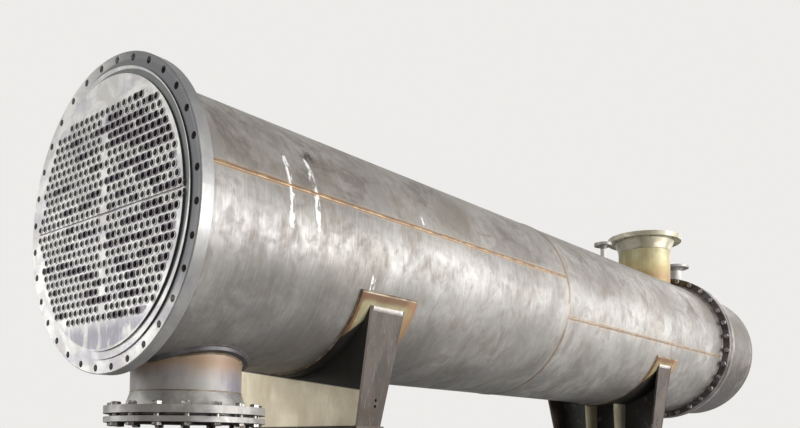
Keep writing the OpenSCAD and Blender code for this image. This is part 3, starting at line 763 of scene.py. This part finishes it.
def grown(name, tree, values, seed_mesh=None):
    """Runs a Geometry Nodes tree with the named values and returns the result as a plain mesh."""
    host = bpy.data.objects.new(name + "_host", seed_mesh or bpy.data.meshes.new(name + "_seed"))
    bpy.context.scene.collection.objects.link(host)
    modifier = host.modifiers.new(name, "NODES")
    modifier.node_group = tree
    sockets = {item.name: item.identifier for item in tree.interface.items_tree if item.in_out == "INPUT"}
    for key, value in values.items():
        modifier[sockets[key]] = value
    graph = bpy.context.evaluated_depsgraph_get()
    mesh = bpy.data.meshes.new_from_object(host.evaluated_get(graph), depsgraph=graph)
    host.modifiers.remove(modifier)
    bpy.data.objects.remove(host)
    mesh.name = name
    if not mesh.polygons:
        raise RuntimeError(name + " came out empty")
    return mesh


def tube_places():
    """Centres of all tubes on the front tubesheet: staggered rows, mirrored about both centre lines."""
    return [(side * (i + (1 if row % 2 == 0 else 0.5)) * TUBE_PITCH, half * (PASS_LANE / 2 + row * ROW_PITCH))
            for half in (-1, 1) for side in (-1, 1)
            for row, count in enumerate(ROW_TUBES) for i in range(count)]


class EXCHANGER_OT_finish_plates(Operator):
    """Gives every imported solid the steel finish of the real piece"""
    bl_idname = "exchanger.finish_plates"
    bl_label = "Finish shell, flanges and saddles"

    def execute(self, context):
        shell = rolled_plate("pickled_304_shell_plate", "#ADAAA6", "#8D8A86", 0.45)
        for name in ("front_shell_course", "rear_shell_course"):
            finish_nodes(shell, name)
            rolled_piece(name, shell)
        # The bonnet: a much darker copy of the shell plate, as painted shade
        finish_nodes(rolled_plate("satin_304_bonnet_plate", "#423C39", "#342F2D", 0.5, 0.4, 0.12),
                     "bonnet_barrel", "bonnet_head")
        for name, light, dark, violet, worn, nodes in (
                ("faced_304_tubesheet", "#CBCAC6", "#B0ADA9", 0.35, wear_on_sheet, ("front_tubesheet",)),
                # Rear tubesheet: darkened all over as painted shade
                ("heat_darkened_rear_tubesheet", "#5A5049", "#3D3531", 0.2, None, ("rear_tubesheet",)),
                ("turned_304_flange", "#AFADA9", "#8A8681", 0.15, None,
                 ("bottom_nozzle_flange", "blind_flange", "shell_vent_flange", "bonnet_vent_flange")),
                ("heat_tinted_top_flange", "#BDB8A4", "#968F7B", 0.0, None, ("top_nozzle_flange",)),
                # Bonnet flange: a darker copy of the turned flange, as painted shade
                ("stained_bonnet_flange", "#857E78", "#625B55", 0.1, None, ("bonnet_flange",))):
            finish_nodes(machined_face(name, light, dark, violet, worn), *nodes)
        finish_nodes(drawn_tube("drawn_304_tube"), "tube_bundle")
        finish_nodes(heated_neck("heat_tinted_bottom_neck", "#A5A09B", "#86828A", "#988069",
                                 AXIS_Z - SHELL_R, 0.06, 0.35), "bottom_nozzle_neck")
        finish_nodes(weld_metal("ground_weld_collar", "#5C5B5E", "#4A494D"), "bottom_nozzle_collar")
        finish_nodes(heated_neck("heat_tinted_top_neck", "#C0B998", "#9A916F", "#A08C52",
                                 AXIS_Z + SHELL_R, 0.20), "top_nozzle_neck")
        finish_nodes(heated_neck("satin_vent_pipe", "#C4C0BB", "#98938D", "#B9A67C",
                                 AXIS_Z + SHELL_R, 0.04), "shell_vent_neck", "bonnet_vent_neck")
        finish_nodes(graphite_gasket("graphite_gasket"), "bottom_gasket", "rear_gasket")
        self.finish_saddles()
        return {"FINISHED"}

    def finish_saddles(self):
        # The front web: cream, with a near black painted shadow above a line
        finish_nodes(mill_plate("half_cleaned_web", "#F6EDD6", "#E8DDC4", "#D8CAAB", scale_above_line, 0.5),
                     "front_web")
        # The rear web: dark, and near black with painted shade
        finish_nodes(mill_plate("mill_scale_web", "#4A4744", "#383533", "#2F2A26", scale_all_over),
                     "rear_web")
        rib = mill_plate("clean_plate_rib", "#CFC8AE", "#B4AB90", "#A3946F")
        leg = mill_plate("mill_plate_leg", "#544A42", "#403832", "#49382C")
        for end in ("front_", "rear_"):
            plate = end + "wear_plate"
            # Wear plates: heat tinted, and near black with painted shade low down
            finish_nodes(mill_plate("heat_tinted_" + plate, "#A69D7A", "#8A8060", "#7D6239",
                                    partial(scale_below_vessel, plate=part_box(plate))), plate)
            finish_nodes(rib, end + "right_rib", end + "left_rib")
            finish_nodes(leg, end + "right_leg", end + "left_leg", end + "base_plate")


class EXCHANGER_OT_add_shell_welds(Operator):
    """Lays the lengthwise seams, the weld between the courses and the welds at the flanges and the head"""
    bl_idname = "exchanger.add_shell_welds"
    bl_label = "Add shell welds"

    def execute(self, context):
        s = context.scene.exchanger_sizes
        cap_h = 1.8 * MM
        for name, angle, start, end, light, dark in (
                ("front_seam_weld", FRONT_SEAM, SHEET_BACK_Y + FLANGE_FILLET, GIRTH_Y - GIRTH_HALF_W,
                 "#A58A64", "#7C6042"),
                ("rear_seam_weld", REAR_SEAM, GIRTH_Y + GIRTH_HALF_W, REAR_Y - FLANGE_FILLET,
                 "#9B8D78", "#7F6F5C")):
            weld_piece(name, [seam_route(angle, start, end, s.ripple)], s.weld_w, cap_h,
                       weld_metal("wire_brushed_" + name, light, dark), s)
        rings = [ring_route(GIRTH_Y, SHELL_R + GIRTH_CAP, s.ripple), ring_route(HEAD_Y, SHELL_R, s.ripple)]
        weld_piece("girth_welds", rings, s.weld_w, cap_h,
                   weld_metal("brushed_girth_weld", "#9A9184", "#766B5E"), s)
        half = FLANGE_FILLET / 2
        corners = [ring_route(station, SHELL_R + half, s.ripple, lean)
                   for station, lean in ((SHEET_BACK_Y + half, math.pi / 4), (REAR_Y - half, -math.pi / 4),
                                         (BONNET_Y + half, math.pi / 4))]
        weld_piece("flange_fillet_welds", corners, s.fillet_w, 1.6 * MM,
                   weld_metal("ground_fillet_weld", "#8E8781", "#6B645E"), s)
        return {"FINISHED"}


class EXCHANGER_OT_add_nozzle_welds(Operator):
    """Lays the welds where the nozzle necks meet the shell and their flange hubs"""
    bl_idname = "exchanger.add_nozzle_welds"
    bl_label = "Add nozzle welds"

    def execute(self, context):
        s = context.scene.exchanger_sizes
        made = weld_metal("heat_tinted_nozzle_weld", "#A3977F", "#7B684D")
        collar_r = AXIS_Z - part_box("bottom_nozzle_collar")[0].z
        roots = [cope_route(BOTTOM_NOZZLE_Y, BOTTOM_NECK_R, collar_r, -1, s.ripple),
                 cope_route(TOP_NOZZLE_Y, TOP_NECK_R, SHELL_R, 1, s.ripple)]
        weld_piece("nozzle_root_welds", roots, s.fillet_w, 4 * MM, made, s)
        weld_piece("collar_edge_weld", [cope_route(BOTTOM_NOZZLE_Y, COLLAR_R, SHELL_R, -1, s.ripple)],
                   s.fillet_w, 4 * MM, weld_metal("ground_collar_weld", "#6E6B6A", "#565352"), s)
        fine = s.ripple * 0.6
        vents = [(y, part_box(name + "_neck")[1].x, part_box(name + "_flange")[0].z)
                 for y, name in ((SHELL_VENT_Y, "shell_vent"), (BONNET_VENT_Y, "bonnet_vent"))]
        weld_piece("vent_root_welds", [cope_route(y, pipe_r, SHELL_R, 1, fine) for y, pipe_r, top in vents],
                   s.fillet_w * 0.6, 2.5 * MM, made, s)
        lower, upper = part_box("bottom_nozzle_flange")[1].z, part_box("top_nozzle_flange")[0].z
        butts = [pipe_ring_route(BOTTOM_NOZZLE_Y, BOTTOM_NECK_R, lower, s.ripple),
                 pipe_ring_route(TOP_NOZZLE_Y, TOP_NECK_R, upper, s.ripple)]
        butts += [pipe_ring_route(y, pipe_r, top, fine) for y, pipe_r, top in vents]
        weld_piece("neck_butt_welds", butts, s.weld_w * 0.7, 1.6 * MM,
                   weld_metal("ground_butt_weld", "#9A917F", "#75695A"), s)
        return {"FINISHED"}


class EXCHANGER_OT_add_saddle_welds(Operator):
    """Lays the welds round the wear plates and over the tops of the legs"""
    bl_idname = "exchanger.add_saddle_welds"
    bl_label = "Add saddle welds"

    def execute(self, context):
        s = context.scene.exchanger_sizes
        wear_t = 10 * MM
        foot_r = SHELL_R + 4 * MM
        routes = []
        tops = []
        for end in ("front", "rear"):
            low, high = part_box(end + "_wear_plate")
            edge = math.asin((AXIS_Z - high.z) / (SHELL_R + wear_t))
            left_edge = -math.pi + edge
            routes += [ring_route(low.y, foot_r, s.ripple, -math.pi / 4, -edge, left_edge),
                       ring_route(high.y, foot_r, s.ripple, math.pi / 4, -edge, left_edge)]
            for side, way, angle in (("right", 1, -edge), ("left", -1, left_edge)):
                outward = outward_at(angle)
                up = Vector((-outward.z * way, 0, outward.x * way))
                spot = Vector((0, 0, AXIS_Z)) + outward * foot_r
                routes.append(line_route(spot + Vector((0, low.y, 0)), spot + Vector((0, high.y, 0)),
                                         (outward + up).normalized(), s.ripple))
                leg_low, leg_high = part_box(end + "_" + side + "_leg")
                x = (leg_high.x if way > 0 else leg_low.x) - way * 1.5 * MM
                z = leg_high.z - 9 * MM
                tops.append(line_route(Vector((x, leg_low.y + 6 * MM, z)), Vector((x, leg_high.y - 6 * MM, z)),
                                       Vector((way, 0, -0.16)).normalized(), s.ripple))
        weld_piece("wear_plate_welds", routes, s.fillet_w, 3 * MM,
                   weld_metal("saddle_fillet_weld", "#9C8F7B", "#6F5E4A"), s)
        weld_piece("leg_top_welds", tops, s.fillet_w * 1.7, 3 * MM,
                   weld_metal("ground_leg_weld", "#C4C0BC", "#A29C96"), s)
        return {"FINISHED"}


class EXCHANGER_OT_add_tube_welds(Operator):
    """Lays a weld ring round every tube end of the front tubesheet"""
    bl_idname = "exchanger.add_tube_welds"
    bl_label = "Add tube end welds"

    def execute(self, context):
        s = context.scene.exchanger_sizes
        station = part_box("front_tubesheet")[0].y + 0.2 * MM
        points = bpy.data.meshes.new("tube_points")
        points.from_pydata([(x, station, AXIS_Z + z) for x, z in tube_places()], [], [])
        made = weld_metal("tig_tube_end_weld", "#BDBAB5", "#98938D", smear_oil)
        mesh = grown("tube_end_welds", tube_ring_tree(), {
            "Ring radius": TUBE_R + s.tube_weld_w * 0.4, "Bead radius": s.tube_weld_w / 2,
            "Seed": s.seed, "Material": made}, points)
        smooth_by_angle(mesh, 60)
        new_piece("tube_end_welds", mesh, made)
        return {"FINISHED"}


class EXCHANGER_OT_add_studs(Operator):
    """Adds the studs and nuts of the bonnet and of the blind flange"""
    bl_idname = "exchanger.add_studs"
    bl_label = "Add studs and nuts"

    def execute(self, context):
        s = context.scene.exchanger_sizes
        made = galvanised_bolt("bright_stud_and_nut")
        tree = stud_tree()
        bolting = MOUNTS["front_flange_bolts"]["dims"]
        bonnet_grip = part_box("bonnet_flange")[1].y - REAR_Y
        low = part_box("blind_flange")[0].z
        nozzle_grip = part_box("bottom_nozzle_flange")[0].z + BOTTOM_FLANGE_T - low
        for name, count, circle_r, stud_d, length, grip, nut_h, place, turn, seed in (
                ("bonnet_studs", bolting["count"], bolting["pcd_mm"] / 2 * MM, s.stud_d,
                 bonnet_grip + s.stud_d * 2.3, bonnet_grip, s.stud_d * 0.8,
                 (0, REAR_Y + bonnet_grip / 2, AXIS_Z), (math.pi / 2, 0, 0), s.seed),
                ("blind_flange_studs", BLIND_STUDS, BLIND_CIRCLE_R, s.nozzle_stud_d,
                 nozzle_grip + 26 * MM, nozzle_grip, 12 * MM, (0, BOTTOM_NOZZLE_Y, low + nozzle_grip / 2),
                 (0, 0, 0), s.seed + 1)):
            mesh = grown(name, tree, {
                "Count": count, "Circle radius": circle_r, "Stud radius": stud_d / 2, "Stud length": length,
                "Grip": grip, "Nut radius": stud_d * 0.85, "Nut height": nut_h, "Place": place, "Turn": turn,
                "Seed": seed, "Material": made})
            smooth_by_angle(mesh, 30)
            new_piece(name, mesh, made)
        return {"FINISHED"}


def lamp(name, place, target, size, power):
    data = bpy.data.lights.new(name, "AREA")
    data.shape = "RECTANGLE"
    data.size, data.size_y = size
    data.energy = power
    made = bpy.data.objects.new(name, data)
    made.location = place
    made.rotation_euler = (Vector(target) - Vector(place)).to_track_quat("-Z", "Y").to_euler()
    bpy.context.scene.collection.objects.link(made)


class EXCHANGER_OT_set_stage(Operator):
    """Sets the floor, the pale surroundings, the lamps and the camera"""
    bl_idname = "exchanger.set_stage"
    bl_label = "Set stage and camera"

    def execute(self, context):
        scene = context.scene
        looks = scene.exchanger_finish
        self.add_floor(looks)
        self.set_world(scene, looks)
        for name, place, target, size, power in (
                ("right_softbox", (8.0, 5.0, 2.6), (0.0, 0.3, 0.7), (6.0, 3.0), 525),
                ("right_low_softbox", (6.0, 1.0, 0.45), (0.0, 0.0, 0.45), (5.0, 0.7), 260),
                ("rear_low_softbox", (3.5, 9.2, 1.6), (0.0, 0.3, 0.7), (4.0, 2.4), 66),
                ("rear_high_softbox", (0.0, 9.5, 4.5), (0.0, 0.3, 0.7), (3.0, 2.4), 58),
                ("front_low_softbox", (-7.0, -7.3, 1.6), (0.0, -2.2, 0.7), (3.0, 2.4), 142),
                ("front_high_softbox", (-4.8, -8.9, 4.2), (0.0, -2.2, 0.7), (3.0, 2.4), 120)):
            lamp(name, place, target, size, power * looks.lamp_level)
        self.set_camera(scene)
        scene.view_settings.view_transform = "Standard"
        return {"FINISHED"}

    def add_floor(self, looks):
        """Matte floor. The camera stands a little below the saddles' feet, so it is clear from underneath."""
        half = 60.0
        corners = [(-half, -half, 0), (half, -half, 0), (half, half, 0), (-half, half, 0)]
        mesh = bpy.data.meshes.new("studio_floor")
        mesh.from_pydata(corners, [], [(0, 1, 2, 3)])
        floor = bpy.data.objects.new("studio_floor", mesh)
        bpy.context.scene.collection.objects.link(floor)
        made = bpy.data.materials.new("painted_studio_floor")
        made.use_nodes = True
        tree = made.node_tree
        matte = tree.nodes["Principled BSDF"]
        fill(tree, matte, {
            "Base Color": (*looks.floor_colour, 1), "Roughness": 0.9, "Specular IOR Level": 0.1})
        clear = add(tree, "ShaderNodeBsdfTransparent").outputs[0]
        behind = add(tree, "ShaderNodeNewGeometry").outputs["Backfacing"]
        either = add(tree, "ShaderNodeMixShader", {0: behind, 1: matte.outputs[0], 2: clear})
        tree.links.new(either.outputs[0], tree.nodes["Material Output"].inputs[0])
        mesh.materials.append(made)

    def set_world(self, scene, looks):
        """Soft light from all round, and behind the exchanger the pale backdrop that the camera sees."""
        world = bpy.data.worlds.new("pale_studio")
        scene.world = world
        world.use_nodes = True
        tree = world.node_tree
        light = tree.nodes["Background"]
        fill(tree, light, {"Color": (0.95, 0.97, 1.0, 1), "Strength": 0.24 * looks.lamp_level})
        shown = add(tree, "ShaderNodeBackground", {"Color": (*looks.backdrop, 1), "Strength": 1.0})
        rays = add(tree, "ShaderNodeLightPath").outputs
        seen = highest(tree, [rays["Is Camera Ray"], rays["Is Glossy Ray"], rays["Is Transmission Ray"]])
        either = add(tree, "ShaderNodeMixShader", {0: seen, 1: light.outputs[0], 2: shown.outputs[0]})
        tree.links.new(either.outputs[0], tree.nodes["World Output"].inputs[0])

    def set_camera(self, scene):
        """Camera found from the bolt circle and the shell's edges, turned left and slightly up and tilted."""
        yaw, pitch, roll = math.radians(40.36), math.radians(1.92), math.radians(0.45)
        width_px, height_px = 800, 428
        focal_px, centre_x_px, centre_y_px = 801.6, 405.4, 419.3
        ahead = Vector((-math.sin(yaw) * math.cos(pitch), math.cos(yaw) * math.cos(pitch), math.sin(pitch)))
        right = Vector((math.cos(yaw), math.sin(yaw), 0))
        up = right.cross(ahead)
        turned_right = right * math.cos(roll) + up * math.sin(roll)
        turned_up = up * math.cos(roll) - right * math.sin(roll)
        data = bpy.data.cameras.new("camera")
        data.sensor_width = 36.0
        data.lens = focal_px / width_px * data.sensor_width
        data.shift_x = (width_px / 2 - centre_x_px) / width_px
        data.shift_y = (centre_y_px - height_px / 2) / width_px
        data.clip_end = 200.0
        camera = bpy.data.objects.new("camera", data)
        camera.matrix_world = Matrix((
            (turned_right.x, turned_up.x, -ahead.x, 2.400),
            (turned_right.y, turned_up.y, -ahead.y, FRONT_Y - 1.325),
            (turned_right.z, turned_up.z, -ahead.z, AXIS_Z - 0.738),
            (0, 0, 0, 1)))
        scene.collection.objects.link(camera)
        scene.camera = camera


class EXCHANGER_PT_panel(Panel):
    """Lists the sizes, colours and steps"""
    bl_label = "Heat exchanger"
    bl_idname = "EXCHANGER_PT_panel"
    bl_space_type = "VIEW_3D"
    bl_region_type = "UI"
    bl_category = "Exchanger"

    def draw(self, context):
        for group in (context.scene.exchanger_sizes, context.scene.exchanger_finish):
            column = self.layout.column()
            for name in type(group).__annotations__:
                column.prop(group, name)
        for step in STEPS:
            self.layout.operator(step.bl_idname)


STEPS = (EXCHANGER_OT_set_stage, EXCHANGER_OT_finish_plates, EXCHANGER_OT_add_shell_welds,
         EXCHANGER_OT_add_nozzle_welds, EXCHANGER_OT_add_saddle_welds, EXCHANGER_OT_add_tube_welds,
         EXCHANGER_OT_add_studs)
CLASSES = (ExchangerSizes, ExchangerFinish) + STEPS + (EXCHANGER_PT_panel,)


def register():
    for made in CLASSES:
        bpy.utils.register_class(made)
    bpy.types.Scene.exchanger_sizes = PointerProperty(type=ExchangerSizes)
    bpy.types.Scene.exchanger_finish = PointerProperty(type=ExchangerFinish)


def unregister():
    del bpy.types.Scene.exchanger_finish
    del bpy.types.Scene.exchanger_sizes
    for made in reversed(CLASSES):
        bpy.utils.unregister_class(made)


def main():
    register()
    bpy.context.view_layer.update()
    bpy.ops.exchanger.set_stage()
    bpy.ops.exchanger.finish_plates()
    bpy.ops.exchanger.add_shell_welds()
    bpy.ops.exchanger.add_nozzle_welds()
    bpy.ops.exchanger.add_saddle_welds()
    bpy.ops.exchanger.add_tube_welds()
    bpy.ops.exchanger.add_studs()


if __name__ == "__main__":
    main()
